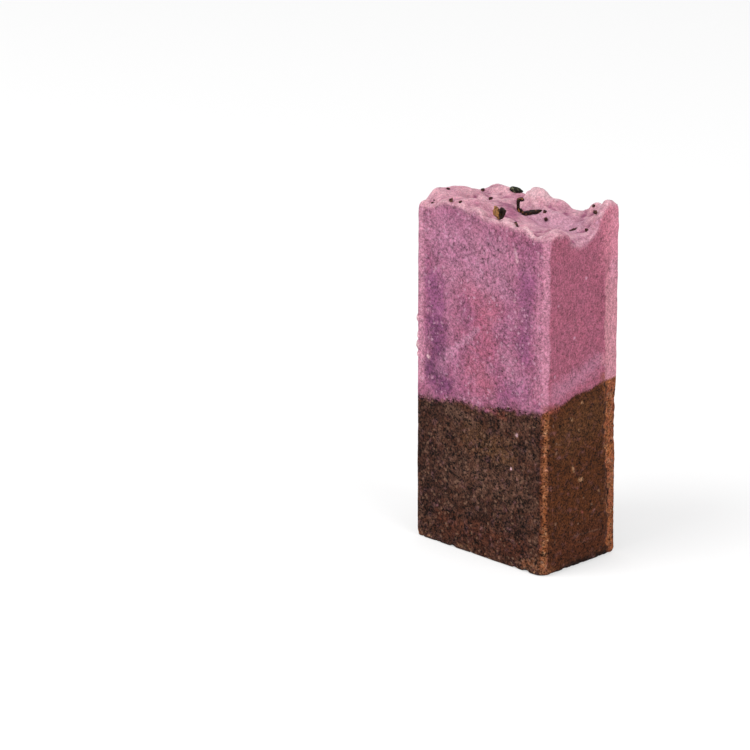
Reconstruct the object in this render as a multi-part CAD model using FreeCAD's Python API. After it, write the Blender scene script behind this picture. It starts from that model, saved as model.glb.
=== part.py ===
import FreeCAD, Part
import math
import os
import random

# A hand-made bar of soap: a slice cut from a loaf, standing on its end.
# The loaf was poured twice. The brown base set first, and the purple top bonded to it along a
# sloping, slightly wavy joint. The top's surface was left as a rough crust, with bits of dried
# herb pressed into it. The slice's long edges were planed by hand, one of them tore, and its foot
# is worn.
# The frame has +Z up, X across the broad face and Y through the slice. The origin is the centre
# of the foot. All lengths are in millimetres and all angles in degrees.

Vector = FreeCAD.Vector
X, Y, Z = Vector(1, 0, 0), Vector(0, 1, 0), Vector(0, 0, 1)

# The slice, up to the crust's lowest general level
bar_width = 44.0
bar_thickness = 26.5
bar_height = 86.0

# The joint between the two pours
joint_height = 42.0
joint_rise_along_width = 5.4
joint_rise_along_thickness = 4.2
joint_wave_height = 0.45
joint_wave_length = 17.0

# The crust's rim, and the small nodules scattered over it
rim_width = 1.3
rim_drop = 0.75
nodule_count = 60
nodule_rise = 0.5
nodule_radius = 2.2
nodule_seed = 4

# The edges: how far each cut reaches along the two faces that meet there
front_edge_cut = 1.6
left_edge_cut = 0.6
back_edge_cut = 1.2
torn_edge_cut = 4.9
torn_edge_depth = 0.5
foot_edge_cut = 0.5
foot_undercut = 0.9
corner_chip_length = 2.6
corner_chip_height = 1.7

# How much the cuts wander along an edge, as a share of their reach
planed_wander = 0.22
torn_wander = 0.25

# The dried herbs
bud_length = 3.4
bud_diameter = 1.5
bud_outline = [(-0.5, 0.4), (-0.34, 0.82), (-0.06, 1.0), (0.24, 0.8), (0.5, 0.25)]
curl_radius = 1.0
curl_back = 1.6
curl_sheet = 0.75
curl_width = 1.3
blade_length = 5.6
blade_width = 1.8
blade_sheet = 0.8
fold_length = 2.9
fold_height = 2.5
fold_gap = 0.9
fold_sheet = 0.7
stem_length = 2.6
stem_width = 0.75
sliver_length = 1.9
sliver_width = 0.7
stem_taper = 0.7
fleck_size = 1.1
fleck_thickness = 0.7
seat_depth = 0.35

# The facets of the broken crust and of the joint: their size, and how far their corners stray from
# an even grid, as a share of that size
crust_facet = 1.0
crust_stray = 0.3
joint_facet = 2.2
joint_stray = 0.0
facet_seed = 5

# Spacing of the sections along an edge, how far each cutter and rough face runs past the slice, and
# how near two corners of facets lie to count as one
edge_station_step = 2.5
overshoot = 3.0
join_tolerance = 0.001

# The crust's forms: place as shares of the half width and half thickness, then the rise and the
# reach along the width and the thickness
crust_forms = [
    ("front plateau", -0.42, -0.80, 3.9, 11.5, 9.5),
    ("left shoulder", -0.92, -0.28, 3.5, 8.0, 7.4),
    ("left corner", -0.98, -0.72, 1.3, 4.5, 4.5),
    ("left rear lump", -0.84, 0.24, 2.0, 4.6, 4.2),
    ("rear corner lump", -0.76, 0.92, 1.7, 5.0, 4.4),
    ("lump under the bud", -0.50, 0.90, 1.0, 4.0, 4.0),
    ("middle swell", -0.30, -0.10, 1.4, 8.0, 6.0),
    ("rear dome", -0.13, 0.76, 4.3, 4.9, 5.2),
    ("rear dome shoulder", 0.12, 0.90, 2.0, 3.2, 3.4),
    ("rear ridge", 0.60, 1.00, 1.7, 6.0, 3.0),
    ("horn", 0.97, 0.74, 6.0, 4.9, 5.9),
    ("horn shoulder", 0.70, 0.96, 2.2, 3.4, 3.0),
    ("front lip", 0.30, -0.98, 2.5, 12.5, 3.6),
    ("crumbs on the lip", 0.68, -0.94, 1.9, 2.4, 2.4),
    ("front right lobe", 0.95, -0.58, 2.0, 5.0, 4.0),
    ("front corner", 0.92, -0.98, 1.1, 3.4, 3.0),
    ("basin lobe", 0.72, -0.28, 1.0, 4.0, 3.2),
    ("basin", 0.56, 0.10, -2.2, 12.0, 7.0),
    ("notch", 1.06, -0.09, -3.2, 5.0, 4.6),
    ("rear valley", -0.34, 0.60, -1.0, 3.0, 4.0),
]

# Where each fleck of herb lies, as shares of the half width and half thickness
fleck_places = [
    (-0.86, -0.40),
    (-0.85, -0.78),
    (-0.79, -0.92),
    (-0.50, -0.92),
    (-0.36, -0.92),
    (-0.62, 0.34),
    (-0.93, 0.66),
    (0.20, 0.36),
    (0.27, 0.26),
    (0.86, 0.30),
    (0.66, 0.86),
    (0.87, 0.52),
]


def from_shares(u, v):
    """A place on the slice, from shares of its half width and half thickness."""
    return u * bar_width / 2, v * bar_thickness / 2


def swell(x, y, place, rise, reach_x, reach_y):
    """A rounded lump or hollow, full in the middle and gone at its reach."""
    centre_x, centre_y = from_shares(*place)
    away = math.hypot((x - centre_x) / reach_x, (y - centre_y) / reach_y)
    if away >= 1:
        return 0.0
    return rise * (1 - away**3) ** 2


def scattered_nodules():
    """Seeded nodules, closer together near the rim, where the knife broke the crust."""
    draw = random.Random(nodule_seed)
    nodules = []
    for index in range(nodule_count):
        along = draw.uniform(-1, 1)
        side = 1 if index % 2 else -1
        across = side * (1 - draw.random() ** 2)
        place = (across, along) if index % 4 < 2 else (along, across)
        size = draw.uniform(0.5, 1.2)
        nodules.append((place, nodule_rise * size, nodule_radius * size))
    return nodules


nodules = scattered_nodules()


def crust_height(x, y):
    """Height of the crust at a place, with its rim worn down towards the four faces."""
    height = bar_height
    for _, u, v, rise, reach_x, reach_y in crust_forms:
        height += swell(x, y, (u, v), rise, reach_x, reach_y)
    for place, rise, reach in nodules:
        height += swell(x, y, place, rise, reach, reach)
    to_face = min(bar_width / 2 - abs(x), bar_thickness / 2 - abs(y))
    worn = min(max(1 - to_face / rim_width, 0), 1)
    return height - rim_drop * worn**2


def joint_surface_height(x, y):
    """Height of the joint between the pours at a place: a slope with two crossing waves."""
    slope = joint_rise_along_width * x / bar_width + joint_rise_along_thickness * y / bar_thickness
    turn = 2 * math.pi / joint_wave_length
    long_wave = math.sin(turn * (x + 0.4 * y))
    short_wave = 0.6 * math.sin(1.7 * turn * (y - 0.3 * x) + 1)
    return joint_height + slope + joint_wave_height * (long_wave + short_wave)


def spread(length, step):
    """Even places along a length and its overshoots, no further apart than the step."""
    count = math.ceil((length + 2 * overshoot) / step)
    return [-length / 2 - overshoot + (length + 2 * overshoot) * i / count for i in range(count + 1)]


def rough_face(height_at, facet, stray):
    """A faceted face through the heights, running past the slice on every side."""
    draw = random.Random(facet_seed)
    columns, rows = spread(bar_width, facet), spread(bar_thickness, facet)
    points = []
    for column in columns:
        for row in rows:
            x = column + draw.uniform(-stray, stray) * facet
            y = row + draw.uniform(-stray, stray) * facet
            points.append(Vector(x, y, height_at(x, y)))
    facets = []
    for i in range(len(columns) - 1):
        for j in range(len(rows) - 1):
            a = i * len(rows) + j
            b, c, d = a + len(rows), a + len(rows) + 1, a + 1
            facets += [(a, b, c), (a, c, d)] if (i + j) % 2 else [(a, b, d), (b, c, d)]
    face = Part.Shape()
    face.makeShapeFromMesh((points, facets), join_tolerance)
    return face


def wander(seed):
    """A slow seeded wave between minus one and one, for the reach of a cut along an edge."""
    draw = random.Random(seed)
    long_wave, long_start = draw.uniform(11, 16), draw.uniform(0, 2 * math.pi)
    short_wave, short_start = draw.uniform(6, 9), draw.uniform(0, 2 * math.pi)

    def at(distance):
        turn = 2 * math.pi * distance
        return (math.sin(turn / long_wave + long_start) + math.sin(turn / short_wave + short_start)) / 2

    return at


def edge_cutter(middle, along, length, first, second, wandering, seed):
    """The sliver taken off one edge, as a loft through triangles along it.
    The cut runs from the end of first, which lies in one face, to the end of second, in the other."""
    first_wave, second_wave = wander(seed), wander(seed + 1)
    sections = []
    for distance in spread(length, edge_station_step):
        on_edge = middle + along * distance
        a = first * (1 + wandering * first_wave(distance))
        b = second * (1 + wandering * second_wave(distance))
        corners = [on_edge + a * 2 - b, on_edge + b * 2 - a, on_edge - (a + b) * 2]
        sections.append(Part.makePolygon(corners + corners[:1]))
    return Part.makeLoft(sections, True, True)


def corner_chip():
    """The chip knocked off the front corner of the foot."""
    tip = Vector(bar_width / 2, -bar_thickness / 2, 0)
    along_width = tip - X * corner_chip_length
    along_thickness = tip + Y * corner_chip_length
    up = tip + Z * corner_chip_height
    outward = (up - along_width).cross(along_thickness - along_width).normalize()
    middle = (along_width + along_thickness + up) / 3
    reach = 2 * corner_chip_length
    face = Part.makePlane(2 * reach, 2 * reach, middle, outward)
    face.translate(middle - face.CenterOfMass)
    if outward.dot(tip - middle) < 0:
        outward = -outward
    return face.extrude(outward * reach)


def worn_slice():
    """The slice with its crust still to be shaped, and with planed, torn and worn edges."""
    tallest = max(form[3] for form in crust_forms)
    height = bar_height + 3 * tallest
    half_x, half_y, half_z = X * (bar_width / 2), Y * (bar_thickness / 2), Z * (height / 2)
    edges = [
        (half_z + half_x - half_y, Z, height, -X * front_edge_cut, Y * front_edge_cut, planed_wander),
        (half_z - half_x - half_y, Z, height, X * left_edge_cut, Y * left_edge_cut, planed_wander),
        (half_z - half_x + half_y, Z, height, X * back_edge_cut, -Y * back_edge_cut, planed_wander),
        (half_z + half_x + half_y, Z, height, -Y * torn_edge_cut, -X * torn_edge_depth, torn_wander),
        (-half_y, X, bar_width, Y * foot_edge_cut, Z * foot_edge_cut, planed_wander),
        (half_y, X, bar_width, -Y * foot_edge_cut, Z * foot_edge_cut, planed_wander),
        (-half_x, Y, bar_thickness, X * foot_edge_cut, Z * foot_edge_cut, planed_wander),
        (half_x, Y, bar_thickness, -X * foot_undercut, Z * foot_undercut, planed_wander),
    ]
    block = Part.makeBox(bar_width, bar_thickness, height, -half_x - half_y)
    for number, edge in enumerate(edges):
        block = block.cut(edge_cutter(*edge, seed=2 * number + 1))
    return block.cut(corner_chip())


def pours():
    """The brown base and the purple top: the slice parted at the joint and broken off at the crust."""
    joint = rough_face(joint_surface_height, joint_facet, joint_stray)
    crust = rough_face(crust_height, crust_facet, crust_stray)
    parted, _ = worn_slice().generalFuse([joint, crust])
    base, top, _ = sorted(parted.Solids, key=lambda solid: solid.CenterOfMass.z)
    return base, top


def bud():
    """A dried flower bud: a turned spindle, blunt at its foot and narrow at its tip."""
    radius = bud_diameter / 2
    flanks = [Vector(along * bud_length, 0, out * radius) for along, out in bud_outline]
    foot_centre, tip_centre = Vector(flanks[0].x, 0, 0), Vector(flanks[-1].x, 0, 0)
    outline = Part.makePolygon([foot_centre, *flanks, tip_centre, foot_centre])
    spindle = Part.Face(outline).revolve(Vector(), X, 360)
    spindle.translate(Z * radius)
    return spindle


def ring_sector(inner, outer, start, end):
    """A curved strip seen edge on: the face between two arcs, standing in XZ."""
    def point(radius, angle):
        return Vector(radius * math.cos(math.radians(angle)), 0, radius * math.sin(math.radians(angle)))

    middle = (start + end) / 2
    outer_arc = Part.Arc(point(outer, start), point(outer, middle), point(outer, end)).toShape()
    inner_arc = Part.Arc(point(inner, end), point(inner, middle), point(inner, start)).toShape()
    first_end = Part.makeLine(point(outer, end), point(inner, end))
    second_end = Part.makeLine(point(inner, start), point(outer, start))
    return Part.Face(Part.Wire([outer_arc, first_end, inner_arc, second_end]))


def curled_leaf():
    """A leaf dried into a narrow hook, standing on its lower curl."""
    inner = curl_radius - curl_sheet
    across = Y * curl_width
    upper = ring_sector(inner, curl_radius, 30, 180).extrude(across)
    upper.translate(Z * curl_back)
    lower = ring_sector(inner, curl_radius, 180, 310).extrude(across)
    back = Part.makeBox(curl_sheet, curl_width, curl_back, Vector(-curl_radius, 0, 0))
    leaf = back.fuse([upper, lower]).removeSplitter()
    leaf.translate(Z * curl_radius - across / 2)
    return leaf


def leaf_blade():
    """A narrow leaf lying flat, pointed at both ends."""
    tip, heel = Vector(blade_length / 2, 0, 0), Vector(-blade_length / 2, 0, 0)
    near = Part.Arc(heel, Vector(0, -blade_width / 2, 0), tip).toShape()
    far = Part.Arc(tip, Vector(0, blade_width / 2, 0), heel).toShape()
    return Part.Face(Part.Wire([near, far])).extrude(Z * blade_sheet)


def folded_leaf():
    """A leaf folded double, open at the top: two walls joined by a round fold."""
    inner, outer = fold_gap / 2, fold_gap / 2 + fold_sheet
    fold = ring_sector(inner, outer, 180, 360).extrude(Y * fold_length)
    wall_height = fold_height - outer
    walls = [Part.makeBox(fold_sheet, fold_length, wall_height, Vector(x, 0, 0)) for x in (-outer, inner)]
    leaf = fold.fuse(walls).removeSplitter()
    leaf.translate(Z * outer - Y * (fold_length / 2))
    return leaf


def stem(length, width):
    """A piece of dried stem: four-sided, as such herbs grow, and thinner towards one end."""
    diamond = [(-0.5, 0), (0, -0.5), (0.5, 0), (0, 0.5)]
    sections = []
    for end, size in ((-length / 2, width), (length / 2, width * stem_taper)):
        corners = [Vector(end, size * y, width / 2 + size * z) for y, z in diamond]
        sections.append(Part.makePolygon(corners + corners[:1]))
    return Part.makeLoft(sections, True, True)


def fleck(seed):
    """A crumb of leaf with five to seven uneven sides."""
    draw = random.Random(seed)
    sides = draw.randint(5, 7)
    corners = []
    for side in range(sides):
        angle = 2 * math.pi * (side + draw.uniform(-0.25, 0.25)) / sides
        reach = fleck_size / 2 * draw.uniform(0.6, 1)
        corners.append(Vector(reach * math.cos(angle), reach * math.sin(angle), 0))
    outline = Part.makePolygon(corners + corners[:1])
    return Part.Face(outline).extrude(Z * fleck_thickness)


def pressed_in(shape, place, turned, tilted):
    """A herb turned about the vertical, tilted, and pressed into the crust at its place."""
    x, y = from_shares(*place)
    shape.rotate(Vector(), Y, tilted)
    shape.rotate(Vector(), Z, turned)
    shape.translate(Vector(x, y, crust_height(x, y) - seat_depth))
    return shape


def herbs():
    """Every bit of dried herb by name, in its place."""
    pieces = {
        "dried_bud": pressed_in(bud(), (-0.52, 0.84), 45, 14),
        "curled_leaf": pressed_in(curled_leaf(), (-0.05, 0.15), 45, 0),
        "leaf_blade": pressed_in(leaf_blade(), (0.07, 0.24), 65, 0),
        "folded_leaf": pressed_in(folded_leaf(), (0.18, -0.87), 60, 16),
        "leaf_sliver": pressed_in(stem(sliver_length, sliver_width), (0.49, -0.93), 30, 62),
        "stem_bit": pressed_in(stem(stem_length, stem_width), (0.67, 0.32), 240, 12),
    }
    for number, place in enumerate(fleck_places, start=1):
        draw = random.Random(number)
        turned, tilted = draw.uniform(0, 360), draw.uniform(-20, 20)
        pieces[f"herb_fleck_{number:02d}"] = pressed_in(fleck(number), place, turned, tilted)
    return pieces


def main():
    base, top = pours()
    pieces = herbs()
    top = top.cut(list(pieces.values()))
    os.makedirs("parts", exist_ok=True)
    for name, shape in {"brown_base_layer": base, "purple_top_layer": top, **pieces}.items():
        shape.exportStep(f"parts/{name}.step")


main()
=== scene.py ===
import math
import random

import bmesh
import bpy
import numpy as np
from mathutils import Matrix, Vector, noise


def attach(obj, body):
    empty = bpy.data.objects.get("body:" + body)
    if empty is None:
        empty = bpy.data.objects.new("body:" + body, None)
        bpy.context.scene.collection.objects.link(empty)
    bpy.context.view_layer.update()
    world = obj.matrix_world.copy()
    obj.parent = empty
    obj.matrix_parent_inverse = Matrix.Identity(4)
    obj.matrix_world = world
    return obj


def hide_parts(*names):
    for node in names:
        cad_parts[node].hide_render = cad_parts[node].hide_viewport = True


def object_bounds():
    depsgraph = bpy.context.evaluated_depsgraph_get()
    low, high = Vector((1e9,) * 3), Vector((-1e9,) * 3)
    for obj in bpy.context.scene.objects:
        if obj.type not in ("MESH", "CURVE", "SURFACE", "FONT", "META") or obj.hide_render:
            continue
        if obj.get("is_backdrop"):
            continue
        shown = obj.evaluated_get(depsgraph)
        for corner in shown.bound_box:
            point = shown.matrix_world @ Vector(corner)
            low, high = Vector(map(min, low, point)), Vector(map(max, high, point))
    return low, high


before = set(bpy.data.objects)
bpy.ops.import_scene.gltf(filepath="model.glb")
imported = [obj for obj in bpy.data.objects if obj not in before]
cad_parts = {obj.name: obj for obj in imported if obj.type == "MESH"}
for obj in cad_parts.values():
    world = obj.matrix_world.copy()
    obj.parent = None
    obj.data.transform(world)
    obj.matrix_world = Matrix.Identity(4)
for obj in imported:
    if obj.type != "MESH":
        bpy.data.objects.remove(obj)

# Looks for a hand-made bar of soap that stands on its brown end: the crumbly skin of its two pours, the
# crust with its dried herbs, a white floor, soft light and the camera.
# The script works in millimetres in the part's frame and turns to metres where a piece is made.
# Colours are written as they look on a screen, from 0 to 255.

# The bar, from the frame
cad_low, cad_high = (np.array(corner) * 1000 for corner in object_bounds())
half_width = cad_high[0]
half_thickness = cad_high[1]

# The joint between the pours, as in the part's source
joint_height = 42.0
joint_rise_along_width = 5.4
joint_rise_along_thickness = 4.2
joint_wave_height = 0.45
joint_wave_length = 17.0

# How far from that height the faces of the joint are looked for
joint_reach = 7.0

# Sizes of the faces of the rebuilt skins, and how near two vertices are made one
soap_face = 0.3
herb_face = 0.11
merge_distance = 0.002

# Where the zones of the skin start and end: heights, distances from a face, an edge or the floor, and how
# squarely a point faces a side
crust_heights = (79.0, 81.0)
inner_distances = (1.1, 1.6)
bevel_distances = (0.12, 0.4)
edge_distances = (3.2, 2.2)
foot_heights = (3.0, 0.6)
squarely = (0.75, 0.97)
roughly = (0.3, 0.8)

# Rounds of averaging with the neighbours: to round the facets, to tell hollows from ridges, and for the
# fades along a worn edge and onto the crust
rounding_rounds = 14
hollow_rounds = 20
edge_fade_rounds = 8
crust_fade_rounds = 55

# The strip along the right back edge where the slice tore: at some heights, where it starts, and how far
# it lies behind the right face
strip_starts = [(0, 9.8), (26, 9.2), (34, 8.0), (40, 8.5), (62, 8.3), (72, 7.7), (92, 7.6)]
strip_depths = [(0, 0.0), (3, 0.1), (8, 0.4), (26, 0.4), (30, 0.8), (38, 0.8), (44, 0.3), (47, 0.1), (92, 0)]

# How fast the strip falls away towards the back, for each millimetre, and where the painted shadow along its
# rim is widest
strip_slope = 0.1
rim_height = 34

# How pink the strip is above the joint, at some heights, and where the horn's pink and the basin's
# lavender set in
strip_pinks = [(45, 0.5), (52, 0.85), (68, 0.8), (75, 0.3)]
horn_heights = (74, 80)
basin_heights = (87.5, 84.5)

# How high the broken rim of the foot is chipped
chip_height = 0.8

# How dark the soap is beside the white floor, for tones that are written as the photograph shows them
soap_shade = 0.76

# Tones of the purple pour
mauve = (158, 92, 118)
narrow_mauve = (155, 85, 107)
violet = (140, 78, 118)
deep_violet = (114, 60, 98)
rose = (180, 94, 112)
# Pink of worn edges and of painted light glowing through the soap's edges
lilac = (182, 126, 152)
# Painted light: a pale grey halo along the left edge
edge_wear_and_painted_light = (198, 134, 157)
painted_edge_halo = (190, 158, 168)
strip_pink = (198, 134, 146)
horn_pink = (206, 124, 144)
crust_pink = (221, 161, 175)
crust_pale = (226, 184, 192)
# The crust's painted shade, also laid in random patches
crust_shade = (154, 88, 118)
basin_lavender = (198, 146, 167)
purple_pit = (112, 60, 90)
purple_fleck = (206, 154, 178)

# Tones of the brown pour
cocoa = (64, 37, 27)
warm_brown = (76, 41, 21)
deep_brown = (50, 29, 24)
red_brown = (74, 38, 26)
olive_brown = (88, 60, 38)
ash_brown = (98, 72, 60)
edge_tan = (134, 84, 56)
orange_brown = (136, 78, 44)
stain_red = (128, 66, 56)
granule = (156, 116, 86)
# Dark of the pits, also painted shadow under the worn foot and along the torn strip's step
brown_pit_and_shadow = (28, 16, 13)
brown_fleck = (132, 98, 80)

# Marks on the wide front face: where each starts and ends as width and height, its reach, its colour
# and its strength
front_marks = [
    ("lilac across the top", (-15.0, 81.0), (5.0, 79.0), 7.5, lilac, 0.5),
    ("lilac under it", (-12.0, 72.0), (8.0, 71.0), 5.5, lilac, 0.4),
    ("violet at the left", (-15.5, 67.0), (-15.0, 60.0), 4.6, violet, 0.8),
    ("deep violet at the left", (-15.5, 56.0), (-14.5, 51.0), 4.4, deep_violet, 0.85),
    ("violet low at the left", (-16.0, 45.5), (-12.5, 42.5), 4.8, deep_violet, 0.9),
    ("violet by the right edge", (15.5, 75.0), (14.5, 56.0), 3.4, violet, 0.6),
    ("violet low at the right", (14.0, 47.0), (8.0, 44.0), 3.2, violet, 0.6),
    ("rose glow", (0.5, 62.5), (2.5, 55.0), 5.2, rose, 0.4),
    ("rose above it", (-4.0, 68.0), (5.0, 66.0), 4.0, rose, 0.25),
    ("rose low down", (-3.0, 50.0), (1.0, 46.0), 5.0, rose, 0.4),
    ("pale streak", (-0.7, 59.0), (-11.2, 50.3), 0.9, lilac, 0.6),
    ("streak's fan", (-9.0, 52.0), (-13.5, 46.0), 2.6, lilac, 0.4),
    ("lilac at the right", (9.0, 54.0), (13.0, 49.0), 4.2, lilac, 0.4),
    # Painted light: the pink glow and the pale grey halo along the left edge, and the pale band beside the
    # front edge
    ("pink along the left edge", (-20.5, 86.0), (-20.5, 42.0), 1.7, edge_wear_and_painted_light, 0.9),
    ("grey at the left edge", (-21.9, 86.0), (-21.9, 44.0), 0.7, painted_edge_halo, 0.8),
    ("pale beside the front edge", (19.6, 82.0), (19.6, 46.0), 1.4, edge_wear_and_painted_light, 0.4),
    ("upright scratch", (11.5, 82.3), (12.2, 79.2), 0.5, crust_pale, 0.5),
    ("pale spot", (11.3, 69.2), (11.4, 69.0), 0.5, crust_pale, 0.7),
    ("fleck at the left edge", (-18.0, 48.4), (-17.5, 47.9), 0.5, crust_pale, 1.0),
    ("haze below the joint", (-11.5, 37.0), (-2.0, 34.5), 1.9, ash_brown, 0.5),
    ("arc below the joint", (-11.5, 36.2), (-8.0, 33.8), 0.8, ash_brown, 0.6),
    ("dark below the joint at the left", (-19.0, 34.5), (-13.0, 36.0), 2.2, deep_brown, 0.6),
    ("red below the joint", (3.0, 39.6), (8.0, 39.0), 1.6, stain_red, 0.3),
    ("olive middle", (-3.0, 31.0), (9.0, 29.0), 4.4, olive_brown, 0.5),
    ("grey across the middle", (-10.0, 21.0), (12.0, 21.0), 6.0, ash_brown, 0.22),
    ("dark left side", (-17.0, 27.0), (-16.0, 9.0), 3.4, deep_brown, 0.55),
    ("red near the foot", (-12.0, 6.0), (14.0, 5.0), 5.0, red_brown, 0.6),
    ("crumbled chunk", (0.6, 20.3), (2.0, 18.2), 0.7, brown_fleck, 0.35),
    ("bright fleck", (12.4, 35.1), (12.6, 34.9), 0.45, crust_pale, 1.0),
    ("second bright fleck", (10.7, 25.9), (10.8, 25.7), 0.35, crust_pale, 0.8),
    ("yellow fleck", (3.7, 28.8), (3.9, 28.6), 0.45, granule, 0.9),
    ("crumbly foot of the front edge", (16.0, 1.5), (21.0, 3.5), 2.4, edge_tan, 0.35),
]

# Areas of the wide front face where light crumbs crowd: where each starts and ends, and its reach
crumbly_areas = [
    ((-10.0, 79.0), (4.0, 77.0), 5.0),
    ((-12.0, 49.0), (-1.0, 59.0), 2.6),
    ((6.0, 53.0), (14.0, 47.0), 5.5),
    ((-4.0, 29.0), (9.0, 27.0), 5.0),
    ((-15.0, 22.0), (-11.0, 17.5), 3.0),
    ((0.0, 21.0), (13.0, 17.0), 4.0),
    ((-18.5, 8.0), (-12.0, 6.0), 1.8),
    ((14.0, 1.5), (21.5, 4.0), 3.4),
]

# Marks on the narrow right face, as thickness and height
right_marks = [
    ("pink horn", (8.5, 90.0), (9.5, 78.0), 4.6, horn_pink, 0.7),
    ("lavender above the joint", (-9.0, 47.0), (5.0, 51.5), 3.2, lilac, 0.5),
    ("pink above the joint's far end", (8.0, 51.5), (11.0, 50.5), 2.2, strip_pink, 0.5),
    ("orange at the far end of the joint", (8.5, 46.5), (10.5, 40.0), 2.4, orange_brown, 0.7),
    ("red at the near end of the joint", (-12.3, 43.4), (-9.0, 43.0), 1.4, stain_red, 0.75),
    ("olive upper half", (-4.0, 35.0), (4.0, 38.0), 7.5, olive_brown, 0.35),
    ("dark near the foot", (-7.0, 5.0), (9.0, 6.0), 6.5, red_brown, 0.5),
    ("shade under the worn foot", (-6.0, 0.2), (10.5, 0.3), 2.3, brown_pit_and_shadow, 1.0),
    ("crumbly foot of the front edge", (-13.0, 0.8), (-10.0, 1.2), 1.6, edge_tan, 0.4),
    ("upper speck", (-0.1, 42.5), (0.1, 42.3), 0.4, granule, 0.8),
    ("speck by the front edge", (-3.9, 39.2), (-3.5, 38.8), 0.45, granule, 0.7),
    ("round speck", (-1.0, 35.6), (-0.9, 35.4), 0.4, granule, 0.7),
    ("long speck", (-3.0, 26.6), (-2.5, 25.2), 0.4, granule, 0.8),
    ("large speck", (-0.4, 22.5), (0.3, 22.4), 0.6, granule, 0.9),
    ("speck by the strip", (6.5, 18.0), (6.8, 17.8), 0.4, granule, 0.8),
    ("low speck", (0.5, 14.0), (0.7, 13.8), 0.4, stain_red, 0.9),
    ("scratch", (-2.3, 8.3), (7.2, 7.7), 0.22, ash_brown, 0.5),
    ("scratch below it", (-1.0, 6.4), (3.0, 5.4), 0.2, ash_brown, 0.4),
]

# Marks on the crust, as width and thickness
crust_marks = [
    # Painted shade in the valley between the lobes
    ("purple valley", (-7.5, 2.5), (0.5, -2.5), 2.8, crust_shade, 0.9),
    ("shade under the left lobe", (-14.0, -2.5), (-10.0, 0.0), 1.6, crust_shade, 0.5),
    ("pale nodule", (15.2, -12.4), (16.4, -13.0), 1.7, crust_pale, 0.9),
    ("pale flap by the folded leaf", (7.5, -10.2), (10.5, -12.2), 1.1, crust_pale, 0.8),
    ("lavender basin", (3.0, 3.0), (12.0, 5.0), 4.4, basin_lavender, 0.8),
    ("lavender by the corner", (14.0, 6.0), (18.0, 0.0), 3.0, basin_lavender, 0.5),
    ("pale lip", (-4.0, -12.0), (14.0, -12.4), 1.6, crust_pale, 0.3),
    # Painted light: the lit top of the dome, the pale rim of the horn and the glow on the left shoulder
    ("pale dome", (-3.0, 8.5), (0.0, 12.0), 4.0, crust_pale, 0.9),
    ("pale horn", (19.0, 8.0), (19.5, 12.0), 2.0, crust_pale, 0.4),
    ("pink shoulder", (-19.0, -4.0), (-15.0, -7.0), 3.0, edge_wear_and_painted_light, 0.4),
]

# Marks drawn for the faces that the front hides: how many, how far from the floor and the top they start,
# how far they run, their reach and their strength
hidden_mark_count = 26
hidden_mark_margins = (2, 6)
hidden_mark_run = 5
hidden_mark_reach = (1.0, 6.0)
hidden_mark_strength = (0.2, 0.5)

# Crumbs that cling to the left front edge: their width, then each one's height, reach and how far it
# stands out
crumb_width = 1.7
edge_crumbs = [
    (57.4, 1.3, 0.35),
    (53.0, 1.2, 0.35),
    (50.4, 1.6, 0.45),
    (48.0, 1.0, 0.35),
]

# The herbs that have a look of their own: the dark tone, the pale tone and the pale tone's share
herb_looks = {
    "dried_bud": ((30, 33, 24), (104, 108, 82), 0.3),
    "curled_leaf": ((30, 18, 13), (142, 96, 48), 0.25),
    "leaf_blade": ((28, 16, 13), (100, 64, 38), 0.25),
    "folded_leaf": ((34, 20, 14), (142, 98, 56), 0.15),
}
other_herb_look = ((56, 32, 30), (100, 70, 56), 0.25)

# How deep the herbs' dry skins are crinkled, and the first of their seeds
leaf_crinkle = 0.10
fleck_crinkle = 0.22
first_herb_seed = 40

# The soaps' materials: how strong the grain is, the flecks and pits with their strength, the sheen, and
# how much light passes into the soap
purple_look = {
    "contrast": 0.3,
    "flecks": (purple_fleck, 0.75),
    "pits": (purple_pit, 0.15),
    "sheen": 0.15,
    "through": 0.15,
}
brown_look = {
    "contrast": 0.66,
    "flecks": (brown_fleck, 0.8),
    "pits": (brown_pit_and_shadow, 0.7),
    "sheen": 0.05,
    "through": 0.03,
}

# Sizes of what breaks up the soap's tones: the fine grain, the coarser layers with their share of the
# contrast, the granules, the flecks with their uneven rims, and the pits
fine_grain = 0.45
coarse_layers = [(0.9, 0.9), (2.4, 0.6)]
granule_size = 1.2
fleck_size = 1.0
fleck_rim_size = 0.5
pit_size = 1.0

# Size of the herbs' fibres
fibre_size = 0.3

# Bumps: their depth and strength
soap_bump = (0.2, 0.3)
herb_bump = (0.1, 0.5)

# How far light passes into the soap, in metres, and the share of it for red, green and blue
light_depth = 0.0012
light_shares = (1.0, 0.45, 0.45)

# The floor: how far it reaches in metres, its white, its sheen and how much light it gives off itself
floor_reach = 2.0
floor_white = (0.95, 0.95, 0.95, 1)
floor_roughness = 0.8
floor_sheen = 0.1
floor_glow = 0.5

# The light: from all round, and from lamps with their place in metres, their size and their power
surround_light = 0.67
lamps = [
    ("key lamp", (-0.25, -0.7, 0.9), 0.7, 8),
    ("side lamp", (0.9, -0.1, 0.5), 0.7, 5),
]
lamp_aim = (0, 0, 0.045)

# The camera: place in metres, the direction that it looks from in degrees, its lens and its sensor
camera_place = (0.80359, -0.85405, 0.43680)
camera_azimuth = 44.97
camera_elevation = 18.51
camera_lens = 240
camera_sensor = 36


def linear(colour):
    """A screen colour as the three linear shares that a shader takes."""
    shares = np.array(colour) / 255
    return np.where(shares <= 0.04045, shares / 12.92, ((shares + 0.055) / 1.055) ** 2.4)


def soft_step(values, start, end):
    """Rises smoothly from 0 at start to 1 at end."""
    share = np.clip((values - start) / (end - start), 0, 1)
    return share * share * (3 - 2 * share)


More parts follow.
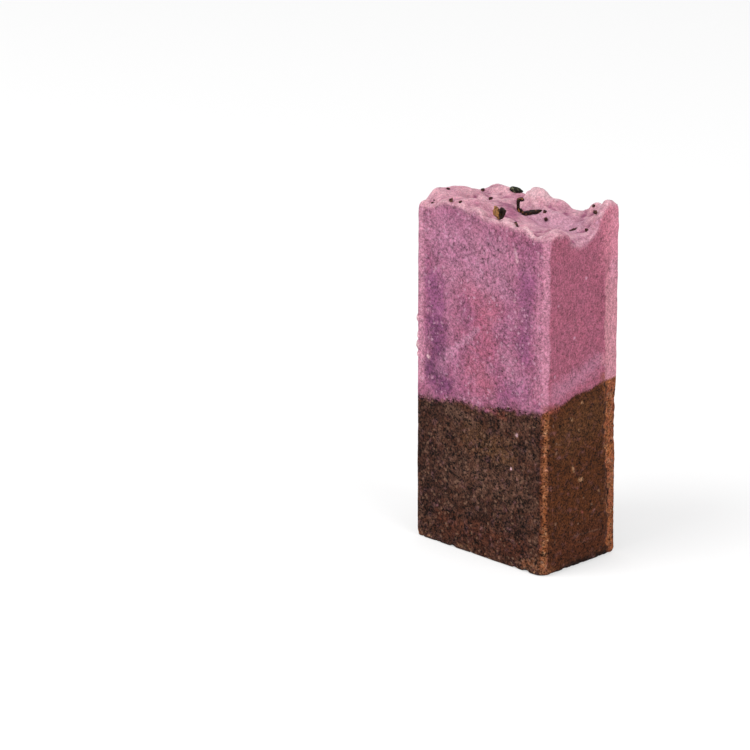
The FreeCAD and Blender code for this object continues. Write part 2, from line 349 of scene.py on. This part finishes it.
def lumps(points, size, seed):
    """Smooth seeded noise between about -1 and 1, with lumps of this size."""
    shift = Vector((17.3, 5.7, 11.9)) * seed
    return np.array([noise.noise(Vector(point) + shift) for point in points / size])


def grit(points, size, seed):
    """Rougher seeded noise: lumps of this size with others of half the size."""
    return lumps(points, size, seed) + lumps(points, size / 2, seed + 1) / 2


def joint_surface(points):
    """The joint's height under each point."""
    x, y = points[:, 0], points[:, 1]
    slope = joint_rise_along_width * x / half_width + joint_rise_along_thickness * y / half_thickness
    turn = 2 * math.pi / joint_wave_length
    waves = np.sin(turn * (x + 0.4 * y)) + 0.6 * np.sin(1.7 * turn * (y - 0.3 * x) + 1)
    return joint_height + slope / 2 + joint_wave_height * waves


def vertex_places(mesh):
    """The mesh's vertices as rows of three numbers."""
    flat = np.empty(len(mesh.vertices) * 3)
    mesh.vertices.foreach_get("co", flat)
    return flat.reshape(-1, 3)


def vertex_normals(mesh):
    """The direction that each vertex faces."""
    flat = np.empty(len(mesh.vertices) * 3)
    mesh.vertex_normals.foreach_get("vector", flat)
    return flat.reshape(-1, 3)


def place_vertices(mesh, points):
    """Moves the mesh's vertices to these places."""
    mesh.vertices.foreach_set("co", points.ravel())
    mesh.update()


def blurred(mesh, values, rounds):
    """Values at the vertices, each averaged with its neighbours a few times over."""
    pairs = np.empty(len(mesh.edges) * 2, dtype=np.int64)
    mesh.edges.foreach_get("vertices", pairs)
    near, far = pairs.reshape(-1, 2).T
    ends, others = np.concatenate([near, far]), np.concatenate([far, near])
    neighbours = np.bincount(ends, minlength=len(values))[:, None]
    for _ in range(rounds):
        sums = [np.bincount(ends, weights=column[others], minlength=len(values)) for column in values.T]
        values = (values + np.stack(sums, axis=1) / neighbours) / 2
    return values


def rebuilt(mesh, face):
    """The mesh with even faces of this size all over."""
    holder = bpy.data.objects.new("rebuilt", mesh)
    bpy.context.collection.objects.link(holder)
    even_faces = holder.modifiers.new("even faces", "REMESH")
    even_faces.mode = "VOXEL"
    even_faces.voxel_size = face
    depsgraph = bpy.context.evaluated_depsgraph_get()
    result = bpy.data.meshes.new_from_object(holder.evaluated_get(depsgraph))
    bpy.data.objects.remove(holder)
    return result


def cad_skin(names):
    """The CAD nodes' faces as one mesh in millimetres."""
    skin = bmesh.new()
    for name in names:
        skin.from_mesh(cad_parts[name].data)
    bmesh.ops.scale(skin, vec=(1000, 1000, 1000), verts=skin.verts)
    bmesh.ops.remove_doubles(skin, verts=skin.verts, dist=merge_distance)
    skin.normal_update()
    return skin


def as_mesh(shape, name):
    """Turns the working mesh into one that an object can show."""
    mesh = bpy.data.meshes.new(name)
    shape.to_mesh(mesh)
    shape.free()
    return mesh


def block_skin():
    """The outside of both pours together, with nothing left of the joint between them."""
    skin = cad_skin(["brown_base_layer", "purple_top_layer"])
    inside = []
    for face in skin.faces:
        near_joint = abs(face.calc_center_median().z - joint_height) < joint_reach
        if near_joint and abs(face.normal.z) > 0.5:
            inside.append(face)
    bmesh.ops.delete(skin, geom=inside, context="FACES")
    return rebuilt(as_mesh(skin, "block skin"), soap_face)


class Zones:
    """How much each point belongs to the crust, a wide or narrow face, an edge, the strip or the foot."""

    def __init__(self, points, normals):
        x, y, z = points.T
        from_narrow, from_wide = half_width - abs(x), half_thickness - abs(y)
        to_face = np.minimum(from_narrow, from_wide)
        inner = np.maximum(soft_step(normals[:, 2], 0.3, 0.6), soft_step(to_face, *inner_distances))
        self.crust = inner * soft_step(z, *crust_heights)
        self.sides = 1 - self.crust
        self.wide = soft_step(abs(normals[:, 1]), *squarely) * self.sides
        self.narrow = soft_step(abs(normals[:, 0]), *squarely) * self.sides
        self.front = soft_step(abs(normals[:, 1]), *roughly) * self.sides * (y < 0)
        self.right = soft_step(abs(normals[:, 0]), *roughly) * self.sides * (x > 0)
        self.bevel = soft_step(to_face, *bevel_distances) * self.sides * soft_step(z, 0.3, 1.2)
        self.by_wide = soft_step(from_narrow - from_wide, -0.1, 0.8)
        self.near_edge = soft_step(np.hypot(from_narrow, from_wide), *edge_distances) * self.sides
        self.foot = soft_step(z, *foot_heights)
        self.underside = soft_step(-normals[:, 2], 0.5, 0.8)
        self.brown = soft_step(joint_surface(points) - z, -0.2, 0.2)
        upright = points * (0, 0, 1)
        ragged = 0.5 * lumps(upright, 6, 31) + (0.5 + 0.7 * self.brown) * grit(upright, 2.0, 32)
        beyond = y - np.interp(z, *zip(*strip_starts)) - ragged
        torn = soft_step(beyond, -0.3, 0.3) * (x > half_width / 2)
        self.torn = torn * self.sides
        self.strip = self.torn * soft_step(normals[:, 0], 0.1, 0.4)
        # Painted shadow: a dark band of changing width just inside the step where the strip starts
        reach = 0.4 + 0.9 * lumps(upright, 1.7, 39) + 0.6 * soft_step(abs(z - rim_height), 3.5, 1.0)
        self.strip_rim_shadow = torn * soft_step(beyond, reach + 0.4, reach) * self.brown


def soften(mesh):
    """Rounds the facets of the crust and the cut edges."""
    points = vertex_places(mesh)
    zones = Zones(points, vertex_normals(mesh))
    share = np.maximum(zones.crust, zones.near_edge)
    points += share[:, None] * (blurred(mesh, points, rounding_rounds) - points)
    place_vertices(mesh, points)


def puffs(points):
    """Rounded lumps of the crust: 0 in the grooves between them, 1 on top of the highest."""
    drift = 1.2 * np.column_stack([lumps(points, 4, seed) for seed in (61, 62, 63)])
    return soft_step(abs(lumps(points + drift, 5.6, 64)), 0.0, 0.45)


def relief(points, zones):
    """How far the skin stands out from the CAD faces, along the way that each point faces."""
    slow = 0.08 * lumps(points, 14, 1) + 0.04 * lumps(points, 5, 2) - 0.06
    fine = grit(points, 1.0, 3)
    pits = np.clip(grit(points, 1.6, 5) - 0.4, 0, 1)
    wide = (0.05 + 0.05 * zones.brown) * fine - (0.10 + 0.12 * zones.brown) * pits
    narrow = 0.015 * fine - 0.03 * pits
    bevel = 0.08 * grit(points, 2.4, 7)
    crust = 0.42 * lumps(points, 3.2, 55) + 0.18 * lumps(points, 1.5, 56) + 0.05 * fine
    crust += 0.42 * puffs(points) - 0.3
    foot = 0.22 * grit(points, 1.5, 9) - 0.08
    out = slow * zones.sides + wide * zones.wide + narrow * zones.narrow
    out += bevel * zones.bevel + crust * zones.crust + foot * zones.foot * zones.sides
    return out * (1 - zones.underside)


def tear_off(points, zones):
    """Moves what lies beyond the torn strip's surface back onto it."""
    x, y, z = points.T
    depth = np.interp(z, *zip(*strip_depths)) * (1 + 0.3 * grit(points, 2.2, 11))
    surface = half_width - strip_slope * (y - strip_starts[-1][1]) - depth
    x -= zones.torn * np.maximum(x - surface, 0)


def foot_chips(points):
    """How far the broken rim of the foot lies above the floor."""
    x, y, z = points.T
    to_face = np.minimum(half_width - abs(x), half_thickness - abs(y))
    rim = soft_step(to_face, 1.5, 0.3) * soft_step(z, 1.8, 0.2)
    return chip_height * rim * np.clip(grit(points * (1, 1, 0), 1.9, 15), 0, 1)


def clinging_crumbs(points):
    """How far the crumbs stand out from the left front edge."""
    x, y, z = points.T
    across = np.hypot(x + half_width, y + half_thickness)
    out = np.zeros(len(points))
    for height, reach, rise in edge_crumbs:
        away = np.hypot((z - height) / reach, across / crumb_width)
        out = np.maximum(out, rise * (1 - soft_step(away, 0.35, 1)))
    return out


def worn_block():
    """The whole block with all its relief."""
    mesh = block_skin()
    soften(mesh)
    points, normals = vertex_places(mesh), vertex_normals(mesh)
    zones = Zones(points, normals)
    crumbs = clinging_crumbs(points) * (0.7 + 0.8 * grit(points, 1.1, 13))
    points = points + normals * (relief(points, zones) + crumbs)[:, None]
    tear_off(points, zones)
    points[:, 2] += foot_chips(points)
    place_vertices(mesh, np.clip(points, cad_low, cad_high))
    return mesh


def mark_wobble(points):
    """The noise that breaks up the outlines of the marks."""
    return grit(points, 1.8, 30)


def mixed(base, colour, share):
    """The base colours with this much of another colour mixed in."""
    return base + (linear(colour) - base) * np.clip(share, 0, 1)[:, None]


def cover(across, up, start, end, reach, wobble):
    """How much of each point lies within reach of a line, with an outline broken up by the wobble."""
    run = np.subtract(end, start)
    along = ((across - start[0]) * run[0] + (up - start[1]) * run[1]) / max(run @ run, 0.01)
    along = np.clip(along, 0, 1)
    away = np.hypot(across - start[0] - along * run[0], up - start[1] - along * run[1])
    return 1 - soft_step(away / reach + 0.4 * wobble, 0.1, 1.2)


def marked(base, across, up, marks, shows, wobble):
    """The base colours with each mark laid on."""
    for _, start, end, reach, colour, strength in marks:
        base = mixed(base, colour, cover(across, up, start, end, reach, wobble) * strength * shows)
    return base


def hidden_marks(seed, colours):
    """Seeded marks for a face that the front view hides, as wide as any face of the bar."""
    draw = random.Random(seed)
    lowest, highest = hidden_mark_margins[0], cad_high[2] - hidden_mark_margins[1]
    run = hidden_mark_run
    marks = []
    for _ in range(hidden_mark_count):
        start = (draw.uniform(-half_width, half_width), draw.uniform(lowest, highest))
        end = (start[0] + draw.uniform(-run, run), start[1] + draw.uniform(-run, run))
        strength = draw.uniform(*hidden_mark_strength)
        marks.append(("", start, end, draw.uniform(*hidden_mark_reach), draw.choice(colours), strength))
    return marks


def marked_behind(base, points, zones, colours):
    """The base colours with seeded marks laid on the two faces that the front view hides."""
    x, y, z = points.T
    wobble = mark_wobble(points)
    base = marked(base, x, z, hidden_marks(1, colours), zones.wide * (y > 0), wobble)
    return marked(base, y, z, hidden_marks(2, colours), zones.narrow * (x < 0), wobble)


def patchy(points, size, seed):
    """A seeded share between 0 and 1 that changes in patches of this size."""
    return soft_step(grit(points, size, seed), -0.5, 0.6)


def purple_sides(points, zones, bevel):
    """The purple pour's colour on its cut faces."""
    base = np.tile(linear(mauve), (len(points), 1))
    base = mixed(base, lilac, 0.35 * patchy(points, 4, 21) * zones.wide)
    base = mixed(base, violet, 0.35 * patchy(points, 8, 22) * zones.wide)
    base = mixed(base, narrow_mauve, zones.narrow)
    base = mixed(base, rose, 0.12 * patchy(points, 6, 24) * zones.narrow)
    # The bevel's pink: partly wear, partly painted light glowing through the edge
    worn = soft_step(bevel + 0.15 * grit(points, 1.3, 46), 0.0, 0.9)
    base = mixed(base, edge_wear_and_painted_light, worn * (0.6 + 0.4 * patchy(points, 1.6, 26)))
    fades = np.interp(points[:, 2], *zip(*strip_pinks))
    base = mixed(base, strip_pink, fades * zones.strip)
    base = mixed(base, horn_pink, 0.6 * zones.strip * soft_step(points[:, 2], *horn_heights))
    return marked_behind(base, points, zones, [violet, rose, lilac])


def crust_tones(points, hollow, ridge):
    """The crust's colour, with painted shade in its hollows and grooves and painted light on its ridges."""
    base = np.tile(linear(crust_pink), (len(points), 1))
    base = mixed(base, basin_lavender, 0.6 * soft_step(points[:, 2], *basin_heights))
    base = mixed(base, crust_pale, 0.4 * patchy(points, 5, 28))
    base = mixed(base, crust_shade, 0.25 * patchy(points, 3.2, 44))
    # Painted shade in the hollows and in the grooves between the lumps
    base = mixed(base, crust_shade, 0.75 * hollow + 0.4 * (1 - puffs(points)) ** 3)
    # Painted light on the ridges
    base = mixed(base, crust_pale, 0.45 * ridge)
    return marked(base, points[:, 0], points[:, 1], crust_marks, 1, mark_wobble(points))


def brown_tones(points, zones, bevel):
    """The brown pour's colour at each point."""
    base = np.tile(linear(cocoa), (len(points), 1))
    base = mixed(base, ash_brown, 0.4 * patchy(points, 2.2, 23) * zones.wide)
    base = mixed(base, deep_brown, 0.65 * patchy(points, 4, 33) * zones.wide)
    base = mixed(base, warm_brown, zones.narrow)
    worn = soft_step(bevel + 0.35 * grit(points, 1.5, 46), 0.2, 0.9) * (1 - 0.7 * zones.by_wide)
    base = mixed(base, red_brown, soft_step(bevel, 0.1, 0.5))
    base = mixed(base, orange_brown, 0.7 * worn)
    base = mixed(base, edge_tan, worn * patchy(points, 1.3, 34))
    base = mixed(base, granule, 0.8 * worn * soft_step(grit(points, 1.0, 41), 0.1, 0.7))
    base = mixed(base, orange_brown, (0.45 + 0.45 * patchy(points, 1.5, 42)) * zones.strip)
    base = mixed(base, stain_red, 0.4 * zones.strip * patchy(points, 2.5, 36))
    base = mixed(base, granule, 0.5 * zones.strip * soft_step(grit(points, 1.1, 47), 0.2, 0.7))
    # Painted shadow along the strip's step
    base = mixed(base, brown_pit_and_shadow, 0.85 * zones.strip_rim_shadow)
    base = marked_behind(base, points, zones, [ash_brown, deep_brown])
    return mixed(base, granule, 0.6 * zones.foot * zones.sides * soft_step(grit(points, 1.2, 25), 0.2, 0.6))


def crumbly(points, zones, wobble):
    """How thickly the light crumbs lie at each point, from 0 to 1."""
    x, _, z = points.T
    share = zones.wide * (0.3 + 0.4 * patchy(points, 7, 37))
    for start, end, reach in crumbly_areas:
        share = np.maximum(share, cover(x, z, start, end, reach, wobble) * zones.front)
    return share


def brown_share(points, zones):
    """How far each point shows the brown pour, past a joint that is ragged on the wide faces."""
    ragged = 0.15 * grit(points, 2.2, 45)
    ragged += zones.wide * (0.9 * lumps(points, 5.5, 27) + 0.9 * grit(points, 1.8, 29))
    blend = 0.5 + 0.9 * zones.wide
    return soft_step((joint_surface(points) - points[:, 2] + ragged) / blend, -1, 1)


def add_tones(mesh, tones):
    """Keeps the colour of each point with the mesh."""
    attribute = mesh.attributes.new("tone", "FLOAT_COLOR", "POINT")
    attribute.data.foreach_set("color", np.column_stack([tones, np.ones(len(tones))]).ravel())


def add_share(mesh, name, values):
    """Keeps one number for each point with the mesh."""
    attribute = mesh.attributes.new(name, "FLOAT", "POINT")
    attribute.data.foreach_set("value", values)


def paint(mesh):
    """Keeps with the mesh the colour of each point, how grainy it is and how many flecks it shows."""
    points, normals = vertex_places(mesh), vertex_normals(mesh)
    zones = Zones(points, normals)
    # How far each point stands out from its neighbours, for the crust's painted shade in hollows and painted
    # light on ridges
    stands_out = ((points - blurred(mesh, points, hollow_rounds)) * normals).sum(axis=1)
    hollow, ridge = soft_step(stands_out, -0.02, -0.16), soft_step(stands_out, 0.03, 0.2)
    x, y, z = points.T
    wobble = mark_wobble(points) + 0.6 * lumps(points, 0.7, 38)
    bevel = blurred(mesh, zones.bevel[:, None], edge_fade_rounds)[:, 0]
    nearly_crust = blurred(mesh, zones.crust[:, None], crust_fade_rounds)[:, 0]
    onto_crust = soft_step(nearly_crust + 0.16 * wobble, 0.0, 0.85)
    in_brown = brown_share(points, zones)
    tones = purple_sides(points, zones, bevel)
    tones += (brown_tones(points, zones, bevel) - tones) * in_brown[:, None]
    tones = marked(tones, x, z, front_marks, zones.front, wobble)
    tones = marked(tones, y, z, right_marks, zones.right * (1 - zones.strip), wobble)
    tones = mixed(tones, crust_pale, soft_step(clinging_crumbs(points), 0.1, 0.4) * (1 - in_brown))
    tones += (crust_tones(points, hollow, ridge) - tones) * onto_crust[:, None]
    add_tones(mesh, tones)
    add_share(mesh, "grain", 0.9 + 0.1 * zones.wide - 0.3 * onto_crust - 0.15 * in_brown * zones.narrow)
    add_share(mesh, "flecked", crumbly(points, zones, wobble) * (1 - onto_crust))


def level_joint(pour, way):
    """Moves every vertex by the joint's height under it: down to make the joint level, or back up."""
    points = np.array([vertex.co for vertex in pour.verts])
    for vertex, height in zip(pour.verts, joint_surface(points)):
        vertex.co.z += way * height


def cut_at_joint(mesh, name, keep_top):
    """One pour of the painted block, closed along the joint."""
    pour = bmesh.new()
    pour.from_mesh(mesh)
    level_joint(pour, -1)
    cut = bmesh.ops.bisect_plane(
        pour,
        geom=pour.verts[:] + pour.edges[:] + pour.faces[:],
        plane_no=(0, 0, 1),
        clear_inner=keep_top,
        clear_outer=not keep_top,
    )
    rim = [part for part in cut["geom_cut"] if isinstance(part, bmesh.types.BMEdge)]
    cap = bmesh.ops.edgeloop_fill(pour, edges=rim)
    bmesh.ops.triangulate(pour, faces=cap["faces"])
    level_joint(pour, 1)
    bmesh.ops.recalc_face_normals(pour, faces=pour.faces)
    return as_mesh(pour, name)


def add_piece(mesh, name, material, node):
    """Shows a mesh made in millimetres as a piece in place of its CAD node."""
    mesh.transform(Matrix.Diagonal((0.001, 0.001, 0.001, 1)))
    mesh.shade_smooth()
    mesh.materials.clear()
    mesh.materials.append(material)
    piece = bpy.data.objects.new(name, mesh)
    bpy.context.collection.objects.link(piece)
    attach(piece, "root")
    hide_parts(node)


class Nodes:
    """A material's nodes, with one short call for each kind that is used here."""

    def __init__(self, name):
        self.material = bpy.data.materials.new(name)
        self.material.use_nodes = True
        self.tree = self.material.node_tree
        self.shader = self.tree.nodes["Principled BSDF"]
        self.place = self.add("TexCoord", {}).node.outputs["Object"]

    def add(self, kind, inputs, **settings):
        """A new node of a kind, with its inputs and settings: gives its first output."""
        made = self.tree.nodes.new("ShaderNode" + kind)
        for setting, value in settings.items():
            setattr(made, setting, value)
        for name, value in inputs.items():
            self.set(made.inputs[name], value)
        return made.outputs[0]

    def set(self, socket, value):
        """Links another node's output to the socket, or writes a value on it."""
        if isinstance(value, bpy.types.NodeSocket):
            self.tree.links.new(value, socket)
        else:
            socket.default_value = value

    def noise(self, size, detail=3, roughness=0.6):
        """Noise with lumps of a size in millimetres."""
        inputs = {"Vector": self.place, "Scale": 1000 / size, "Detail": detail, "Roughness": roughness}
        return self.add("TexNoise", inputs)

    def cells(self, size):
        """For cells of a size in millimetres: the distance from the cell's middle, and its drawn colour."""
        distance = self.add("TexVoronoi", {"Vector": self.place, "Scale": 1000 / size})
        return distance, distance.node.outputs["Color"]

    def math(self, operation, first, second):
        """Two numbers put together."""
        made = self.add("Math", {}, operation=operation).node
        self.set(made.inputs[0], first)
        self.set(made.inputs[1], second)
        return made.outputs[0]

    def fade(self, value, low, high, start=0.0, end=1.0):
        """The value's stretch from low to high, turned into start to end."""
        inputs = {"Value": value, "From Min": low, "From Max": high, "To Min": start, "To Max": end}
        return self.add("MapRange", inputs)

    def mix(self, share, first, second, blend="MIX"):
        """A share of the second colour laid over the first."""
        made = self.add("Mix", {}, data_type="RGBA", blend_type=blend).node
        self.set(made.inputs[0], share)
        self.set(made.inputs[6], first)
        self.set(made.inputs[7], second)
        return made.outputs[2]

    def finish(self, colour, height, bump_depth, bump_strength, **shader):
        """Joins the colour, and the height as a bump of a depth in millimetres, to the shader."""
        bump = {"Strength": bump_strength, "Distance": bump_depth / 1000, "Height": height}
        self.set(self.shader.inputs["Normal"], self.add("Bump", bump))
        self.set(self.shader.inputs["Base Color"], colour)
        for name, value in shader.items():
            self.set(self.shader.inputs[name.replace("_", " ")], value)
        return self.material


def grain_level(nodes, fine, flecked, contrast):
    """How bright the soap's tone is made: grain all over, and granules where it is flecked."""
    grainy = nodes.add("Attribute", {}, attribute_name="grain").node.outputs["Fac"]
    swing = nodes.fade(fine, 0.3, 0.7, -1.4 * contrast, 1.4 * contrast)
    for size, share in coarse_layers:
        layer = nodes.fade(nodes.noise(size), 0.3, 0.7, -contrast * share, contrast * share)
        swing = nodes.math("ADD", swing, layer)
    granules = nodes.fade(nodes.cells(granule_size)[0], 0.1, 0.6, 1.5 * contrast, -0.5 * contrast)
    swing = nodes.math("ADD", swing, nodes.math("MULTIPLY", granules, flecked))
    return nodes.math("ADD", nodes.math("MULTIPLY", swing, grainy), 1.0)


def fleck_share(nodes, flecked, strength):
    """Where pale flecks show: in some of the cells, with uneven rims."""
    from_middle, drawn = nodes.cells(fleck_size)
    rims = nodes.fade(nodes.noise(fleck_rim_size), 0.3, 0.7, -0.3, 0.3)
    uneven = nodes.math("ADD", from_middle, rims)
    chosen = nodes.math("LESS_THAN", drawn, nodes.fade(flecked, 0, 1, 0.1, 0.5))
    return nodes.math("MULTIPLY", nodes.fade(uneven, 0.55, 0.15, 0.0, strength), chosen)


def soap_material(name, contrast, flecks, pits, sheen, through):
    """Grainy soap: the painted tone, broken up by grain, granules, pale flecks and dark pits."""
    nodes = Nodes(name)
    (fleck, fleck_strength), (pit, pit_strength) = flecks, pits
    tone = nodes.add("Attribute", {}, attribute_name="tone")
    flecked = nodes.add("Attribute", {}, attribute_name="flecked").node.outputs["Fac"]
    fine = nodes.noise(fine_grain, detail=2, roughness=0.7)
    toned = nodes.mix(1.0, tone, grain_level(nodes, fine, flecked, contrast), blend="MULTIPLY")
    pale = fleck_share(nodes, flecked, fleck_strength)
    flecked_tone = nodes.mix(pale, toned, (*linear(fleck), 1))
    dark = nodes.fade(nodes.noise(pit_size, detail=2), 0.38, 0.20, 0.0, pit_strength)
    pitted = nodes.mix(dark, flecked_tone, (*linear(pit), 1))
    shaded = nodes.mix(1.0, pitted, (soap_shade, soap_shade, soap_shade, 1), blend="MULTIPLY")
    return nodes.finish(
        shaded,
        nodes.math("ADD", fine, nodes.math("SUBTRACT", pale, dark)),
        *soap_bump,
        Roughness=nodes.fade(fine, 0.3, 0.7, 0.55, 0.75),
        Specular_IOR_Level=sheen,
        Subsurface_Weight=through,
        Subsurface_Radius=light_shares,
        Subsurface_Scale=light_depth,
    )


def herb_material(name):
    """Dry leaf: the painted tone with fine fibres."""
    nodes = Nodes(name)
    tone = nodes.add("Attribute", {}, attribute_name="tone")
    fibres = nodes.fade(nodes.noise(fibre_size, detail=2), 0.35, 0.65, 0.6, 1.3)
    colour = nodes.mix(1.0, tone, fibres, blend="MULTIPLY")
    return nodes.finish(colour, nodes.noise(fibre_size), *herb_bump, Roughness=0.7, Specular_IOR_Level=0.15)


def golden_half(points):
    """How golden the folded leaf is: its half towards the left edge is, in patches."""
    along = points[:, 0] * 0.7 + points[:, 1] * 0.7
    towards_left = soft_step(along, along.mean() + 0.2, along.mean() - 0.5)
    return towards_left * soft_step(grit(points, 0.9, 61), -0.6, 0.1)


def crinkled(name, depth, seed):
    """A herb's CAD form with a dry, crinkled skin, dark with pale patches."""
    mesh = rebuilt(as_mesh(cad_skin([name]), name), herb_face)
    points, normals = vertex_places(mesh), vertex_normals(mesh)
    crinkle = depth * grit(points, 0.9, seed) + depth / 2 * lumps(points, 0.35, seed + 2)
    place_vertices(mesh, points + normals * crinkle[:, None])
    dark, pale, share = herb_looks.get(name, other_herb_look)
    patches = soft_step(grit(points, 0.8, seed + 4), 0.5 - share, 0.8 - share)
    if name == "folded_leaf":
        patches = np.maximum(patches, golden_half(points))
    add_tones(mesh, mixed(np.tile(linear(dark), (len(points), 1)), pale, patches))
    return mesh


def add_soap():
    """The two pours, as pieces that meet at the joint."""
    block = worn_block()
    paint(block)
    purple = soap_material("purple soap", **purple_look)
    brown = soap_material("brown soap", **brown_look)
    add_piece(cut_at_joint(block, "top_pour", True), "top_pour", purple, "purple_top_layer")
    add_piece(cut_at_joint(block, "base_pour", False), "base_pour", brown, "brown_base_layer")


def add_herbs():
    """Every bit of dried herb, crinkled, in the place of its CAD node."""
    green, brown = herb_material("green herb"), herb_material("brown herb")
    names = sorted(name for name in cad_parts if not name.endswith("_layer"))
    for seed, name in enumerate(names, start=first_herb_seed):
        material, slot = (green, "green_herb") if name == "dried_bud" else (brown, "brown_herb")
        depth = fleck_crinkle if name.startswith("herb_fleck") else leaf_crinkle
        add_piece(crinkled(name, depth, seed), name + "_dry", material, name)


def floor_material():
    """White that keeps a soft shadow and gives off some light towards the camera."""
    material = bpy.data.materials.new("floor")
    material.use_nodes = True
    tree = material.node_tree
    shader = tree.nodes["Principled BSDF"]
    shader.inputs["Base Color"].default_value = floor_white
    shader.inputs["Roughness"].default_value = floor_roughness
    shader.inputs["Specular IOR Level"].default_value = floor_sheen
    glow = tree.nodes.new("ShaderNodeEmission")
    seen = tree.nodes.new("ShaderNodeLightPath")
    share = tree.nodes.new("ShaderNodeMath")
    share.operation = "MULTIPLY"
    share.inputs[1].default_value = floor_glow
    blend = tree.nodes.new("ShaderNodeMixShader")
    tree.links.new(seen.outputs["Is Camera Ray"], share.inputs[0])
    tree.links.new(share.outputs[0], blend.inputs[0])
    tree.links.new(shader.outputs[0], blend.inputs[1])
    tree.links.new(glow.outputs[0], blend.inputs[2])
    tree.links.new(blend.outputs[0], tree.nodes["Material Output"].inputs["Surface"])
    return material


def add_floor():
    """The floor under the bar."""
    mesh = bpy.data.meshes.new("floor")
    reach = floor_reach
    corners = [(-reach, -reach, 0), (reach, -reach, 0), (reach, reach, 0), (-reach, reach, 0)]
    mesh.from_pydata(corners, [], [(0, 1, 2, 3)])
    mesh.materials.append(floor_material())
    floor = bpy.data.objects.new("floor", mesh)
    bpy.context.collection.objects.link(floor)
    floor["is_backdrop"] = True


def add_world():
    """Even light from all round, seen as white."""
    world = bpy.data.worlds.new("surround")
    bpy.context.scene.world = world
    world.use_nodes = True
    tree = world.node_tree
    light = tree.nodes["Background"]
    light.inputs["Color"].default_value = (1, 1, 1, 1)
    light.inputs["Strength"].default_value = surround_light
    seen_white = tree.nodes.new("ShaderNodeBackground")
    seen_white.inputs["Strength"].default_value = 1
    path = tree.nodes.new("ShaderNodeLightPath")
    seen = path.outputs["Is Camera Ray"]
    for ray in ("Is Glossy Ray", "Is Transmission Ray"):
        either = tree.nodes.new("ShaderNodeMath")
        either.operation = "MAXIMUM"
        tree.links.new(seen, either.inputs[0])
        tree.links.new(path.outputs[ray], either.inputs[1])
        seen = either.outputs[0]
    blend = tree.nodes.new("ShaderNodeMixShader")
    tree.links.new(seen, blend.inputs[0])
    tree.links.new(light.outputs[0], blend.inputs[1])
    tree.links.new(seen_white.outputs[0], blend.inputs[2])
    tree.links.new(blend.outputs[0], tree.nodes["World Output"].inputs["Surface"])


def add_lamp(name, place, size, power):
    """A soft square lamp that faces the bar."""
    data = bpy.data.lights.new(name, "AREA")
    data.size = size
    data.energy = power
    lamp = bpy.data.objects.new(name, data)
    lamp.location = place
    aim = Vector(lamp_aim) - Vector(place)
    lamp.rotation_euler = aim.to_track_quat("-Z", "Y").to_euler()
    bpy.context.collection.objects.link(lamp)


def add_camera():
    """The camera, at the photograph's viewing angle."""
    turn, rise = math.radians(camera_azimuth), math.radians(camera_elevation)
    back = Vector((math.sin(turn) * math.cos(rise), -math.cos(turn) * math.cos(rise), math.sin(rise)))
    right = Vector((math.cos(turn), math.sin(turn), 0))
    axes = Matrix((right, back.cross(right), back)).transposed().to_4x4()
    data = bpy.data.cameras.new("camera")
    data.lens = camera_lens
    data.sensor_width = camera_sensor
    camera = bpy.data.objects.new("camera", data)
    camera.matrix_world = Matrix.Translation(camera_place) @ axes
    bpy.context.collection.objects.link(camera)
    bpy.context.scene.camera = camera


add_soap()
add_herbs()
add_floor()
add_world()
for lamp_row in lamps:
    add_lamp(*lamp_row)
add_camera()
bpy.context.scene.view_settings.view_transform = "Standard"
